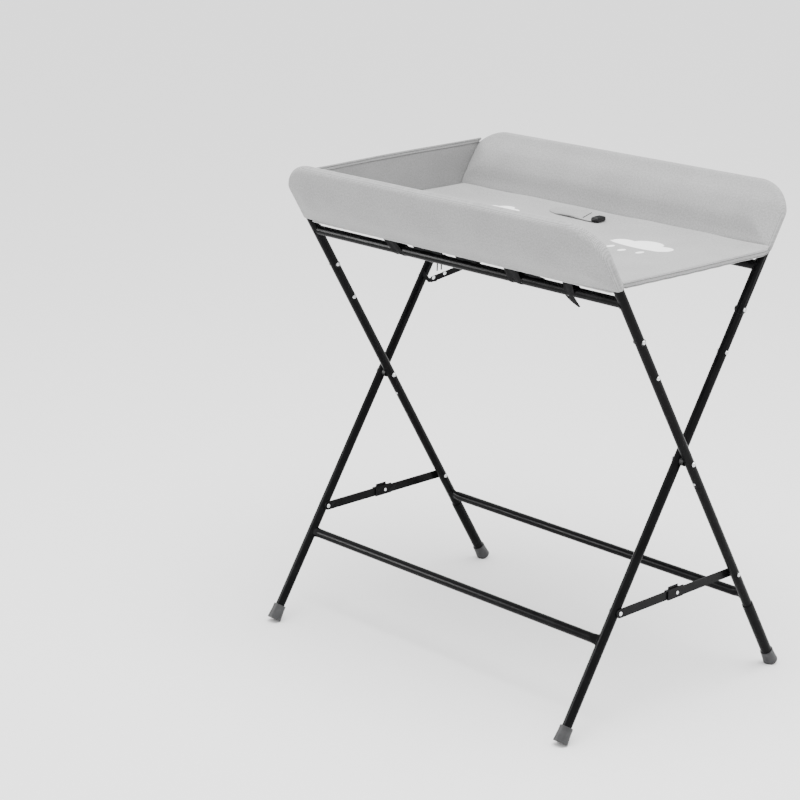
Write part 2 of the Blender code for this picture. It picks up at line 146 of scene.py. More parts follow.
def rings(path, wide, deep, sides, normal=(0, 1, 0), squareness=2.0):
    # an oval ring at each point of a path: wide across the path in its plane, deep along the plane's normal
    path = np.asarray(path, float)
    along = np.gradient(path, axis=0)
    along /= np.linalg.norm(along, axis=1)[:, None]
    normal = np.broadcast_to(np.asarray(normal, float), path.shape)
    across = np.cross(along, normal)
    across /= np.linalg.norm(across, axis=1)[:, None]
    up = np.cross(across, along)
    turn = np.linspace(0, 2 * pi, sides, endpoint=False)
    c, s = np.cos(turn), np.sin(turn)
    power = 2.0 / squareness
    c = np.sign(c) * np.abs(c) ** power
    s = np.sign(s) * np.abs(s) ** power
    wide = np.broadcast_to(wide, len(path))[:, None, None]
    deep = np.broadcast_to(deep, len(path))[:, None, None]
    return path[:, None] + wide * c[None, :, None] * across[:, None] + deep * s[None, :, None] * up[:, None]


def lathe(profile, centre, axis, sides=40):
    # a profile of (distance along the axis, radius) turned about the axis
    profile = np.array(profile, float)
    axis = Vector(axis).normalized()
    turn = np.array(axis.to_track_quat("Z", "Y").to_matrix())
    angle = np.linspace(0, 2 * pi, sides, endpoint=False)
    ring = np.stack([np.cos(angle), np.sin(angle), np.zeros(sides)], axis=-1)
    grid = profile[:, 1, None, None] * ring[None] + profile[:, 0, None, None] * np.array([0, 0, 1.0])
    return grid @ turn.T + np.array(centre, float)


def join(pieces, name):
    with bpy.context.temp_override(active_object=pieces[0], selected_editable_objects=pieces):
        bpy.ops.object.join()
    pieces[0].name = name
    return pieces[0]


def dress(piece, material):
    piece.data.materials.clear()
    piece.data.materials.append(material)
    return piece


def linearColour(code):
    # sRGB hex to linear light
    values = np.array([int(code[i:i + 2], 16) for i in (0, 2, 4)]) / 255
    values = np.where(values <= 0.04045, values / 12.92, ((values + 0.055) / 1.055) ** 2.4)
    return (*values.tolist(), 1.0)


def addNode(material, kind, links=None, **settings):
    # a node with its settings, its inputs linked or set by name
    made = material.node_tree.nodes.new(kind)
    for name, value in settings.items():
        setattr(made, name, value)
    for name, value in (links or {}).items():
        socket = made.inputs[name]
        if isinstance(value, bpy.types.NodeSocket):
            material.node_tree.links.new(value, socket)
        else:
            socket.default_value = value
    return made


def newMaterial(name, **shader):
    material = bpy.data.materials.new(name)
    material.use_nodes = True
    principled = material.node_tree.nodes["Principled BSDF"]
    for label, value in shader.items():
        principled.inputs[label.replace("_", " ")].default_value = value
    return material, principled


def ramp(material, source, stops):
    # a colour ramp from (position, sRGB hex or grey value) stops
    made = addNode(material, "ShaderNodeValToRGB", {"Fac": source})
    band = made.color_ramp
    while len(band.elements) < len(stops):
        band.elements.new(0.5)
    for element, (position, value) in zip(band.elements, stops):
        element.position = position
        element.color = linearColour(value) if isinstance(value, str) else (value, value, value, 1)
    return made.outputs["Color"]


def objectPlace(material):
    return addNode(material, "ShaderNodeTexCoord").outputs["Object"]


def paintedSteel():
    # Black powder coat, baked on steel: a deep even black, a narrow soft highlight and a faint orange peel
    material, shader = newMaterial("blackPowderCoatBaked", IOR=1.45)
    shader.inputs["Specular IOR Level"].default_value = 0.06
    place = objectPlace(material)
    cloud = addNode(material, "ShaderNodeTexNoise", {"Vector": place, "Scale": 28.0, "Detail": 4.0})
    colour = ramp(material, cloud.outputs["Fac"], [(0.3, "070708"), (0.7, "0D0D0E")])
    material.node_tree.links.new(colour, shader.inputs["Base Color"])
    rough = ramp(material, cloud.outputs["Fac"], [(0.25, 0.20), (0.75, 0.30)])
    material.node_tree.links.new(rough, shader.inputs["Roughness"])
    peel = addNode(material, "ShaderNodeTexNoise", {"Vector": place, "Scale": 900.0, "Detail": 2.0})
    bump = addNode(material, "ShaderNodeBump",
                   {"Height": peel.outputs["Fac"], "Strength": 0.10, "Distance": 0.0004})
    material.node_tree.links.new(bump.outputs["Normal"], shader.inputs["Normal"])
    return material


def drawnTube():
    # Bare cold-drawn steel of the inner joining tubes: grey metal with long drawing lines up the tube
    material, shader = newMaterial("coldDrawnSteelBare", Metallic=1.0)
    place = objectPlace(material)
    stretched = addNode(material, "ShaderNodeMapping", {"Vector": place, "Scale": (1.0, 1.0, 0.03)})
    lines = addNode(material, "ShaderNodeTexNoise", {"Vector": stretched.outputs["Vector"], "Scale": 1500.0})
    colour = ramp(material, lines.outputs["Fac"], [(0.3, "7E8082"), (0.7, "9A9C9E")])
    material.node_tree.links.new(colour, shader.inputs["Base Color"])
    rough = ramp(material, lines.outputs["Fac"], [(0.3, 0.32), (0.7, 0.5)])
    material.node_tree.links.new(rough, shader.inputs["Roughness"])
    return material


def mouldedPlastic(name, dark, light, roughness, grain):
    # Injection-moulded plastic: even colour, fine spark-eroded grain that dulls the shine
    material, shader = newMaterial(name, IOR=1.46)
    shader.inputs["Specular IOR Level"].default_value = 0.25
    place = objectPlace(material)
    cloud = addNode(material, "ShaderNodeTexNoise", {"Vector": place, "Scale": 60.0, "Detail": 5.0})
    colour = ramp(material, cloud.outputs["Fac"], [(0.3, dark), (0.7, light)])
    material.node_tree.links.new(colour, shader.inputs["Base Color"])
    rough = ramp(material, cloud.outputs["Fac"], [(0.3, roughness), (0.7, roughness + 0.1)])
    material.node_tree.links.new(rough, shader.inputs["Roughness"])
    erosion = addNode(material, "ShaderNodeTexVoronoi", {"Vector": place, "Scale": grain})
    bump = addNode(material, "ShaderNodeBump",
                   {"Height": erosion.outputs["Distance"], "Strength": 0.2, "Distance": 0.0003})
    material.node_tree.links.new(bump.outputs["Normal"], shader.inputs["Normal"])
    return material


def zincPlate():
    # Bright zinc plating on rivets and screws: pale grey metal, slightly cloudy
    material, shader = newMaterial("zincPlatedSteel", Metallic=1.0)
    place = objectPlace(material)
    cloud = addNode(material, "ShaderNodeTexNoise", {"Vector": place, "Scale": 400.0, "Detail": 3.0})
    colour = ramp(material, cloud.outputs["Fac"], [(0.3, "B2B4B6"), (0.7, "DADBDC")])
    material.node_tree.links.new(colour, shader.inputs["Base Color"])
    rough = ramp(material, cloud.outputs["Fac"], [(0.3, 0.24), (0.7, 0.42)])
    material.node_tree.links.new(rough, shader.inputs["Roughness"])
    return material


def weaveHeight(material, place, threadPerMetre):
    # two crossed sets of threads: the height is high where either thread comes up
    thread = {"Vector": place, "Scale": threadPerMetre / 2, "Distortion": 0.6, "Detail": 1.0,
              "Detail Scale": 0.5}
    warp = addNode(material, "ShaderNodeTexWave", thread, bands_direction="X")
    weft = addNode(material, "ShaderNodeTexWave", thread, bands_direction="Y")
    return addNode(material, "ShaderNodeMath", {0: warp.outputs["Fac"], 1: weft.outputs["Fac"]},
                   operation="MULTIPLY").outputs["Value"]


def clothBase(name, dark, light, sheen=0.15, threadPerMetre=300.0):
    # Plain-woven polyester over foam: matt, heathered, with a little sheen at grazing angles.
    # Real threads are about 0.3 mm apart; they are drawn about ten times coarser so that the weave shows.
    material, shader = newMaterial(name, Roughness=0.92, IOR=1.4)
    shader.inputs["Sheen Weight"].default_value = sheen
    shader.inputs["Sheen Roughness"].default_value = 0.6
    shader.inputs["Specular IOR Level"].default_value = 0.2
    flat = addNode(material, "ShaderNodeUVMap", uv_map="cloth").outputs["UV"]
    weave = weaveHeight(material, flat, threadPerMetre)
    fleck = addNode(material, "ShaderNodeTexNoise",
                    {"Vector": flat, "Scale": 260.0, "Detail": 5.0, "Roughness": 0.75})
    broad = addNode(material, "ShaderNodeTexNoise", {"Vector": flat, "Scale": 11.0, "Detail": 3.0})
    mixed = addNode(material, "ShaderNodeMix", {0: 0.2, 2: fleck.outputs["Fac"], 3: broad.outputs["Fac"]},
                    data_type="FLOAT").outputs[0]
    mixed = addNode(material, "ShaderNodeMix", {0: 0.30, 2: mixed, 3: weave}, data_type="FLOAT").outputs[0]
    colour = ramp(material, mixed, [(0.28, dark), (0.60, light)])
    thread = addNode(material, "ShaderNodeMix", {0: 0.35, 2: weave, 3: fleck.outputs["Fac"]},
                     data_type="FLOAT").outputs[0]
    bump = addNode(material, "ShaderNodeBump", {"Height": thread, "Strength": 0.55, "Distance": 0.0012})
    material.node_tree.links.new(colour, shader.inputs["Base Color"])
    material.node_tree.links.new(bump.outputs["Normal"], shader.inputs["Normal"])
    return material, shader, flat, colour


def webbing(name, dark, light, ribsPerMetre=600.0):
    # Woven nylon webbing: ribs across the strap, with a soft edge to the shine
    material, shader = newMaterial(name, Roughness=0.8, IOR=1.45)
    shader.inputs["Specular IOR Level"].default_value = 0.12
    flat = addNode(material, "ShaderNodeUVMap", uv_map="cloth").outputs["UV"]
    ribs = addNode(material, "ShaderNodeTexWave",
                   {"Vector": flat, "Scale": ribsPerMetre / 2, "Distortion": 0.4},
                   bands_direction="X").outputs["Fac"]
    colour = ramp(material, ribs, [(0.0, dark), (1.0, light)])
    bump = addNode(material, "ShaderNodeBump", {"Height": ribs, "Strength": 0.5, "Distance": 0.0006})
    material.node_tree.links.new(colour, shader.inputs["Base Color"])
    material.node_tree.links.new(bump.outputs["Normal"], shader.inputs["Normal"])
    return material


blackPaint = paintedSteel()
blackPlastic = mouldedPlastic("blackPolypropyleneMoulded", "0D0D0E", "161617", 0.38, 2500.0)
footPlastic = mouldedPlastic("greyFootPvcMoulded", "2A2A2B", "3C3C3D", 0.45, 2000.0)
zinc = zincPlate()
drawnSteel = drawnTube()
greyCloth = clothBase("greyPolyesterWoven", "7A7A7A", "A6A6A6")[0]
# Darker copy of the grey cloth for the head panel and its piping: painted shade, as the upright panel gets
# less of the light from above.
panelClothPaintedShade = clothBase("greyPolyesterWovenPaintedShade", "6C6C6C", "909090")[0]
# Paler copy of the grey cloth for the padding's bound edge: painted highlight along the lower edge.
bindingClothPaintedHighlight = clothBase("bindingWovenPaintedHighlight", "A4A4A4", "C6C6C6")[0]
threadCloth = clothBase("darkSewingThread", "4C4C4C", "686868", threadPerMetre=900.0)[0]
blackWebbing = webbing("blackNylonWebbingWoven", "0A0A0B", "1B1B1C")
print("materials made")


def ownUv(piece, across, along):
    # a UV map in metres from two directions, so that a weave keeps its real size
    mesh = piece.data
    layer = mesh.uv_layers.get("cloth") or mesh.uv_layers.new(name="cloth")
    points = np.empty(len(mesh.vertices) * 3)
    mesh.vertices.foreach_get("co", points)
    points = points.reshape(-1, 3)
    corner = np.empty(len(mesh.loops), int)
    mesh.loops.foreach_get("vertex_index", corner)
    flat = np.stack([points @ np.array(across), points @ np.array(along)], axis=-1)[corner]
    layer.data.foreach_set("uv", flat.astype(np.float32).ravel())
    return piece


def inflate(piece, pressure, cap, share, frames=20):
    # foam-filled cloth swells under pressure; no point moves further than its share of cap
    start = np.empty(len(piece.data.vertices) * 3)
    piece.data.vertices.foreach_get("co", start)
    cloth = piece.modifiers.new("cloth", "CLOTH")
    cloth.settings.use_pressure = True
    cloth.settings.uniform_pressure_force = pressure
    cloth.settings.effector_weights.gravity = 0
    cloth.settings.quality = 5
    scene = bpy.context.scene
    for number in range(1, frames + 1):
        scene.frame_set(number)
    bakeModifiers(piece)
    scene.frame_set(1)
    end = np.empty_like(start)
    piece.data.vertices.foreach_get("co", end)
    move = (end - start).reshape(-1, 3)
    length = np.linalg.norm(move, axis=1, keepdims=True)
    move *= np.minimum(1, cap * share(start.reshape(-1, 3))[:, None] / np.maximum(length, 1e-9))
    piece.data.vertices.foreach_set("co", (start.reshape(-1, 3) + move).ravel())
    piece.data.update()
    return piece


def bakeModifiers(piece):
    bpy.context.view_layer.update()
    ready = piece.evaluated_get(bpy.context.evaluated_depsgraph_get())
    mesh = bpy.data.meshes.new_from_object(ready)
    piece.modifiers.clear()
    old = piece.data
    piece.data = mesh
    mesh.name = piece.name
    bpy.data.meshes.remove(old)


def refine(piece, levels=1):
    step = piece.modifiers.new("smooth", "SUBSURF")
    step.levels = step.render_levels = levels
    bakeModifiers(piece)
    piece.data.shade_smooth()
    return piece


bolster = {"foot": 0.4285, "lift": 0.004, "over": 0.0125, "corner": 0.0805, "rim": 0.0115, "belly": 0.0225,
           "swellFrom": 0.070, "columns": 110, "rows": 26, "held": 0.026, "pressure": 4.0, "cap": 0.004}


def bolsterShape(frameName):
    # A cloth sleeve over the hoop: a pillow in the frame's plane. At each (u, v) of the outline's rounded
    # rectangle the half thickness grows from the rim, which just wraps the tube, to the belly.
    # The foot edge lifts with the fourth power of the distance from the middle.
    b = bolster
    halfX = halfWidth + b["over"]
    top = hoopTop + b["over"]
    rows, columns = b["rows"], b["columns"]
    u = np.linspace(-1, 1, columns)
    v = np.linspace(0, 1, rows)
    u = np.sin(u * pi / 2) * 0.35 + u * 0.65
    v = (1 - np.cos(v * pi)) / 2 * 0.5 + v * 0.5
    x = np.broadcast_to(u * halfX, (rows, columns))
    fromSide = halfX - np.abs(x)
    corner = b["corner"]
    inCorner = np.maximum(corner ** 2 - (corner - fromSide) ** 2, 0)
    drop = np.where(fromSide < corner, corner - np.sqrt(inCorner), 0)
    high = top - drop
    low = b["foot"] + b["lift"] * u[None] ** 4
    z = low + v[:, None] * (high - low)
    edge = np.minimum(np.minimum(fromSide, high - z), z - low)
    edge = np.minimum(edge, np.maximum(high - z, 0))
    rise = np.clip(edge / b["swellFrom"], 0, 1)
    rim = b["rim"] * np.sqrt(np.clip(1 - (1 - np.clip(edge / b["rim"], 0, 1)) ** 2, 0, 1))
    thick = rim + (b["belly"] - b["rim"]) * np.sin(rise * pi / 2) ** 1.5
    front = np.stack([x, -thick, z], axis=-1)
    back = np.stack([x, thick, z], axis=-1)
    grid = np.concatenate([front, back[::-1]], axis=0)
    return surface(f"{frameName}_side_padding", grid, closedRows=True, closedColumns=False, caps=False)


def closeRims(piece):
    # sew the last open borders shut
    work = bmesh.new()
    work.from_mesh(piece.data)
    bmesh.ops.remove_doubles(work, verts=work.verts, dist=2e-5)
    openEdges = [edge for edge in work.edges if edge.is_boundary]
    if openEdges:
        bmesh.ops.holes_fill(work, edges=openEdges)
    bmesh.ops.recalc_face_normals(work, faces=work.faces)
    work.to_mesh(piece.data)
    work.free()
    return piece


def insideRim(points):
    # 0 where the cloth is held tight over the tube and along the foot, rising to 1 well inside the pillow
    b = bolster
    x, z = np.abs(points[:, 0]), points[:, 2]
    fromSide = halfWidth + b["over"] - x
    corner = b["corner"]
    drop = corner - np.sqrt(np.maximum(corner ** 2 - np.maximum(corner - fromSide, 0) ** 2, 0))
    edge = np.minimum(np.minimum(fromSide, hoopTop + b["over"] - drop - z), z - b["foot"])
    return np.clip((edge - b["held"]) / b["held"], 0, 1)


def makeBolster(frameName):
    piece = closeRims(bolsterShape(frameName))
    inflate(piece, bolster["pressure"], bolster["cap"], insideRim)
    refine(piece)
    ownUv(piece, (1, 0, 0), (0, 0.25, 1))
    piece.data.transform(frameMatrix(frameName))
    dress(piece, greyCloth)
    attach(piece, f"{frameName}_frame")
    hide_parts(f"{frameName}_bolster")
    return piece


endSleeve = {"below": 0.028, "radius": 0.0110, "lip": 0.0009}
tubing = {"sides": 36, "bend": 0.068, "bendSteps": 20, "edge": 0.0005, "flatFrom": 0.022, "flatDeep": 0.0066,
          "flatWide": 0.0112, "bead": 0.0016}


def easedTube(start, end):
    # straight tube with softened ends: path points and radii
    start, end = np.array(start, float), np.array(end, float)
    length = np.linalg.norm(end - start)
    endAt, endRadii = tubeEnd()
    at = np.concatenate([endAt, length - endAt[::-1]])
    radii = np.concatenate([endRadii, endRadii[::-1]])
    path = start + (end - start) * (at / length)[:, None]
    return path, radii


def tubeEnd():
    # the cut end of a tube is filed round: distance from the end, and the radius there
    edge = tubing["edge"]
    return edge * np.array([0, 0.3, 1, 2, 6, 14]), tubeRadius - edge * np.array([1, 0.35, 0, 0, 0, 0])


def hoopPath():
    # up one leg, round two bends of equal radius, and down the other, with filed ends
    bend = tubing["bend"]
    angles = np.linspace(0, pi / 2, tubing["bendSteps"])
    endAt, endRadii = tubeEnd()
    rise = np.stack([halfWidth + 0 * endAt, 0 * endAt, hoopLow + endAt], axis=-1)
    bentX, bentZ = halfWidth - bend + bend * np.cos(angles), hoopTop - bend + bend * np.sin(angles)
    bent = np.stack([bentX, 0 * angles, bentZ], axis=-1)
    right = np.vstack([rise, bent])
    radii = np.concatenate([endRadii, tubeRadius + 0 * angles])
    left = right[::-1] * np.array([-1, 1, 1])
    return np.vstack([right, left]), np.concatenate([radii, radii[::-1]])


def makeTube(name, grid, matrix, body):
    piece = surface(name, placed(grid, matrix))
    dress(piece, blackPaint)
    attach(piece, body)
    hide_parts(name.removesuffix("_tube"))


def sleevedLeg(path, radii, x):
    # the lowest section of a front leg is a wider sleeve with a rolled lip: radius along the leg, low to high
    top = stretcherUp - endSleeve["below"]
    wide, lip = endSleeve["radius"], endSleeve["lip"]
    up = np.array([0.0, 0.0015, 0.0018]) + top - 0.0015
    cut = path[:, 2] < top
    steps = np.stack([x + 0 * up, 0 * up, up], axis=-1)
    path = np.vstack([path[cut], steps, path[~cut]])
    radii = np.concatenate([radii[cut] + wide - tubeRadius, [wide, wide - lip * 0.3, tubeRadius], radii[~cut]])
    return path, radii


def makeLegs(frameName, matrix, body):
    for x in (halfWidth, -halfWidth):
        side = sideName(frameName, x)
        for part in ("upper", "lower"):
            low, high = legSpan(f"{frameName}_leg_{part}_{side}")
            path, radii = easedTube((x, 0, low), (x, 0, high))
            if (frameName, part) == ("front", "lower"):
                path, radii = sleevedLeg(path, radii, x)
            makeTube(f"{frameName}_leg_{part}_{side}_tube", rings(path, radii, radii, tubing["sides"]),
                     matrix, body)


def makeHoop(frameName, matrix, body):
    path, radii = hoopPath()
    makeTube(f"{frameName}_hoop_tube_tube", rings(path, radii, radii, tubing["sides"]), matrix, body)


def makeRail(frameName, matrix, body):
    path, radii = easedTube((-halfWidth + 0.004, 0, railUp), (halfWidth - 0.004, 0, railUp))
    makeTube(f"{frameName}_rail_tube", rings(path, radii, radii, tubing["sides"]), matrix, body)


def makeStretcher(frameName, matrix, body):
    # the round tube is pressed flat and wide where it meets each leg
    reach = halfWidth - 0.004
    u = np.linspace(0, 1, 18)
    ease = u * u * (3 - 2 * u)
    endX = -reach + u * tubing["flatFrom"]
    x = np.concatenate([endX, -endX[::-1]])
    press = np.concatenate([1 - ease, (1 - ease)[::-1]])
    deep = tubeRadius + (tubing["flatDeep"] - tubeRadius) * press
    wide = tubeRadius + (tubing["flatWide"] - tubeRadius) * press
    path = np.stack([x, 0 * x, 0 * x + stretcherUp], axis=-1)
    makeTube(f"{frameName}_stretcher_tube", rings(path, wide, deep, tubing["sides"]), matrix, body)
    makeWelds(frameName, stretcherUp, "stretcher", tubing["flatWide"], tubing["flatDeep"], matrix, body)
    makeWelds(frameName, railUp, "rail", tubeRadius, tubeRadius, matrix, body)


def makeWelds(frameName, height, part, wide, deep, matrix, body):
    # a rippled bead where a cross tube meets a leg: a ring that follows both tubes' surfaces
    turn = np.linspace(0, 2 * pi, 72, endpoint=False)
    y = deep * np.sin(turn)
    for x in (halfWidth, -halfWidth):
        toward = -np.sign(x)
        saddle = x + toward * np.sqrt(tubeRadius ** 2 - np.minimum(y ** 2, tubeRadius ** 2 * 0.98))
        path = np.stack([saddle, y, height + wide * np.cos(turn)], axis=-1)
        size = tubing["bead"] * (1 + 0.16 * np.sin(turn * 18))
        outward = np.stack([0 * turn, np.sin(turn), np.cos(turn)], axis=-1)
        circle = np.linspace(0, 2 * pi, 12, endpoint=False)
        across = np.array([toward, 0, 0])
        grid = (path[:, None] + size[:, None, None] * (np.cos(circle)[None, :, None] * outward[:, None]
                + np.sin(circle)[None, :, None] * across))
        bead = surface(f"{frameName}_{part}_weld_{sideName(frameName, x)}", placed(grid, matrix),
                       closedRows=True, caps=False, smoothAngle=60)
        dress(bead, blackPaint)
        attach(bead, body)


washer = {"radius": 0.0063, "thick": 0.0010, "hole": 0.0022}


def makeWashers(frameName, matrix, body):
    # a thin black washer under each hoop screw: a turned ring with eased edges
    r, thick, hole = washer["radius"], washer["thick"], washer["hole"]
    profile = [(0, hole), (0, r), (thick * 0.6, r), (thick, r * 0.94), (thick, hole), (0, hole)]
    for x in (halfWidth, -halfWidth):
        for toward in (1, -1):
            centre = (x + toward * (tubeRadius - thick * 0.4), 0, hoopScrewUp)
            face = "outer" if toward * x > 0 else "inner"
            ring = surface(f"{frameName}_hoop_washer_{sideName(frameName, x)}_{face}",
                           placed(lathe(profile, centre, (toward, 0, 0), 32), matrix), caps=False)
            dress(ring, blackPlastic)
            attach(ring, body)


lengthScrew = {"radius": 0.0031, "height": 0.0014, "dish": 0.0006, "aboveJoint": 0.011}


def makeLengthScrews(frameName, matrix, body):
    # a small pan-head screw on the outer face of each leg holds the upper section in the lower one
    profile = headProfile(lengthScrew["radius"], lengthScrew["height"], lengthScrew["dish"])
    for x in (halfWidth, -halfWidth):
        centre = (x, -tubeRadius + 0.0001, legSplitUp + lengthScrew["aboveJoint"])
        head = lathe(profile, centre, (0, -1, 0), 28)
        piece = surface(f"{frameName}_length_screw_{sideName(frameName, x)}", placed(head, matrix),
                        smoothAngle=30)
        dress(piece, zinc)
        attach(piece, body)


screw = {"radius": 0.0042, "height": 0.0022}


def headProfile(radius, height, dish):
    # a pan head with a round dimple: (height, radius) from the face that bears on the tube
    return [(0, radius), (height * 0.35, radius), (height * 0.75, radius * 0.9), (height, radius * 0.68),
            (height, radius * 0.42), (height - dish, radius * 0.30), (height - dish, 0.00005)]


def makePins(node, body, name, radius, height):
    # both heads of a pin that runs along X, with its shank
    low, high = boxOf(node)
    y, z = (low[1] + high[1]) / 2, (low[2] + high[2]) / 2
    shank = radius * 0.45
    head = headProfile(radius, height, height * 0.4)
    length = high[0] - low[0] - 2 * height
    middle = [(0, shank), (length, shank)]
    profile = [(-h, r) for h, r in head[::-1]] + middle + [(length + h, r) for h, r in head]
    piece = surface(name, lathe(profile, (low[0] + height, y, z), (1, 0, 0), 32), smoothAngle=30)
    dress(piece, zinc)
    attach(piece, body)
    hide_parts(node)


foot = {"end": 0.0058, "length": 0.038, "neck": 0.0130, "base": 0.0148, "flareOver": 0.024, "edge": 0.0012,
        "sides": 56}


def makeFeet(frameName, matrix, body):
    # a moulded boot turned about the leg: a plain cuff, a slight flare and a square end,
    # worn level with the floor
    f = foot
    t = np.linspace(0, 1, 30)
    up = f["end"] + f["edge"] + t * (f["length"] - f["end"] - 2 * f["edge"])
    down = np.clip(1 - (up - f["end"]) / f["flareOver"], 0, 1)
    radius = f["neck"] + (f["base"] - f["neck"]) * down ** 1.3
    turn = np.linspace(0, pi / 2, 6)
    over, inward = f["edge"] * (1 - np.sin(turn)), f["edge"] * (1 - np.cos(turn))
    heel = np.stack([f["end"] + over, radius[0] - inward], axis=-1)[::-1]
    cuff = np.stack([f["length"] - over, radius[-1] - inward], axis=-1)
    sole = [(f["end"], 0.00005), (f["end"], heel[0, 1] * 0.6)]
    bore = endSleeve["radius"] if frameName == "front" else tubeRadius
    mouth = [(f["length"], bore + 0.0002), (f["length"] - 0.003, bore + 0.0001)]
    profile = np.vstack([sole, heel, np.stack([up, radius], axis=-1), cuff, mouth])
    for x in (halfWidth, -halfWidth):
        grid = placed(lathe(profile, (x, 0, floorUp), (0, 0, 1), f["sides"]), matrix)
        grid[..., 2] = np.maximum(grid[..., 2], 0)
        node = f"{frameName}_foot_{sideName(frameName, x)}"
        piece = surface(node + "_boot", grid, smoothAngle=40)
        dress(piece, footPlastic)
        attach(piece, body)
        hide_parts(node)


band = {"wall": 0.0011, "clear": 0.0003, "tuck": 0.006,
        "wraps": [(-0.1560, 0.029, 0.022), (0.149, 0.032, 0.006), (0.282, 0.022, 0.0)],
        "tabs": [(-0.0815, 0.075), (0.020, 0.052), (0.188, 0.040)]}


def bandPiece(name, outline, middle, width, slant, matrix, body):
    # a flat cloth band: its section, in (y, height) from the rail, is carried along the rail
    # and slanted by height
    along = np.linspace(-0.5, 0.5, 14)
    sway = 0.0007 * np.sin(along * 9 + middle * 60)
    lift = outline[None, :, 1] + 0 * along[:, None]
    x = middle + along[:, None] * width - slant * lift / 0.03
    fray = 0.0006 * np.sin(along * 31)[:, None] * (outline[None, :, 1] > 0.01)
    grid = np.stack([x, outline[None, :, 0] + sway[:, None], railUp + lift + fray], axis=-1)
    piece = surface(name, placed(grid, matrix), smoothAngle=50)
    ownUv(piece, (1, 0, 0), (0, 0.6, 0.8))
    dress(piece, blackWebbing)
    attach(piece, body)


def ribbonSection(line):
    # two parallel lines, a wall apart, closed into one outline
    line = np.array(line)
    step = np.gradient(line, axis=0)
    step /= np.linalg.norm(step, axis=1)[:, None]
    aside = np.stack([-step[:, 1], step[:, 0]], axis=-1) * band["wall"]
    return np.vstack([line, (line + aside)[::-1]])


def makeBands(frameName, matrix, body):
    # tabs hang behind the rail and show only above it; wraps go right round it
    radius = tubeRadius + band["clear"]
    tall = bolster["foot"] - railUp + band["tuck"]
    pull = np.linspace(1, 0, 8)[:-1]
    for number, (middle, width) in enumerate(band["tabs"], start=1):
        sweep = np.linspace(radians(80), radians(-70), 20)
        drop = np.stack([radius * cos(radians(80)) - 0.003 * pull, radius + (tall - radius) * pull], axis=-1)
        line = np.vstack([drop, np.stack([radius * np.cos(sweep), radius * np.sin(sweep)], axis=-1)])
        bandPiece(f"{frameName}_rail_tab_{number}", ribbonSection(line), middle, width, 0, matrix, body)
    for number, (middle, width, slant) in enumerate(band["wraps"], start=1):
        sweep = np.linspace(radians(180), radians(360), 30)
        fall = np.stack([-radius * (1 - 0.6 * pull), tall * pull], axis=-1)
        arc = np.stack([radius * np.cos(sweep), radius * np.sin(sweep)], axis=-1)
        line = np.vstack([fall, arc, fall[::-1] * np.array([-1, 1])])
        bandPiece(f"{frameName}_rail_wrap_{number}", ribbonSection(line), middle, width, slant, matrix, body)


def makeBinding(frameName, matrix, body):
    # the bound edge along the padding's outer lower side: a flattened cord with a stitched ripple, coloured
    # paler than the padding cloth as a painted highlight
    t = np.linspace(0, 1, 160)
    x = (t * 2 - 1) * (halfWidth - 0.004)
    path = np.stack([x, 0 * x - 0.0035, bolster["foot"] + 0.0006 + 0.0003 * np.sin(x * 260)], axis=-1)
    fade = np.clip(np.minimum(t, 1 - t) / 0.01, 0.15, 1)
    grid = rings(path, 0.0016 * fade, 0.0042 * fade, 14, squareness=2.4)
    piece = surface(f"{frameName}_padding_binding", placed(grid, matrix), smoothAngle=60)
    ownUv(piece, (1, 0, 0), (0, 0.5, 1))
    dress(piece, bindingClothPaintedHighlight)
    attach(piece, body)


def makeFrame(frameName):
    matrix = frameMatrix(frameName)
    body = f"{frameName}_frame"
    makeHoop(frameName, matrix, body)
    makeLegs(frameName, matrix, body)
    makeRail(frameName, matrix, body)
    makeStretcher(frameName, matrix, body)
    makeWashers(frameName, matrix, body)
    makeFeet(frameName, matrix, body)
    makeBands(frameName, matrix, body)
    makeBinding(frameName, matrix, body)
    for side in ("left", "right"):
        dress(frame["nodes"][f"{frameName}_joint_tube_{side}"], drawnSteel)
    if frameName == "front":
        makeLengthScrews(frameName, matrix, body)
    for side in ("left", "right"):
        for kind in ("hoop", "leg"):
            node = f"{frameName}_{kind}_screw_{side}"
            makePins(node, body, node + "_head", screw["radius"], screw["height"])
    makeBolster(frameName)
    print(frameName, "frame made")


for frameName in ("front", "rear"):
    makeFrame(frameName)


def makePivots():
    for side in ("left", "right"):
        bolt = f"pivot_bolt_{side}"
        makePins(bolt, "rear_frame", bolt + "_cap", 0.0048, 0.0022)
        dress(frame["nodes"][f"pivot_spacer_{side}"], blackPlastic)
        for node, radius, height in ((f"link_pin_front_{side}", 0.0042, 0.0018),
                                     (f"link_rivet_{side}", 0.0036, 0.0012)):
            body = "rear_frame" if "pin" in node else f"link_front_{side}"
            makePins(node, body, node + "_head", radius, height)
        dress(frame["nodes"][f"link_pin_rear_{side}"], zinc)
        dress(frame["nodes"][f"link_spacer_{side}"], zinc)
        dress(frame["nodes"][f"link_front_{side}"], blackPaint)
        dress(frame["nodes"][f"link_rear_{side}"], blackPaint)


makePivots()
for node in ("stay_bar", "stay_bracket"):
    dress(frame["nodes"][node], blackPaint)
for node in ("stay_rivet_1", "stay_rivet_2"):
    dress(frame["nodes"][node], zinc)
for node in ("tie_cord_1", "tie_cord_2"):
    dress(frame["nodes"][node], blackPlastic)
print("pivots and links made")


matSize = {"columns": 170, "rows": 96, "reach": 0.2215, "riseFrom": 0.186, "rise": 0.0135, "headRise": 0.013,
           "footRise": 0.006, "edge": 0.005}


matPrint = {"clouds": [(0.21, 0.08, 1.0), (-0.20, 0.13, 0.6)],     # centre on the mat in metres, and scale
            "lobes": [(-0.045, 0.0, 0.024, 0.020), (0.0, 0.014, 0.034, 0.030), (0.045, 0.0, 0.026, 0.022),
                      (0.0, -0.008, 0.070, 0.016)],                # from the cloud's centre, with half sizes
            "drops": [(-0.036, -0.050), (0.0, -0.060), (0.036, -0.050)], "drop": (0.006, 0.011)}


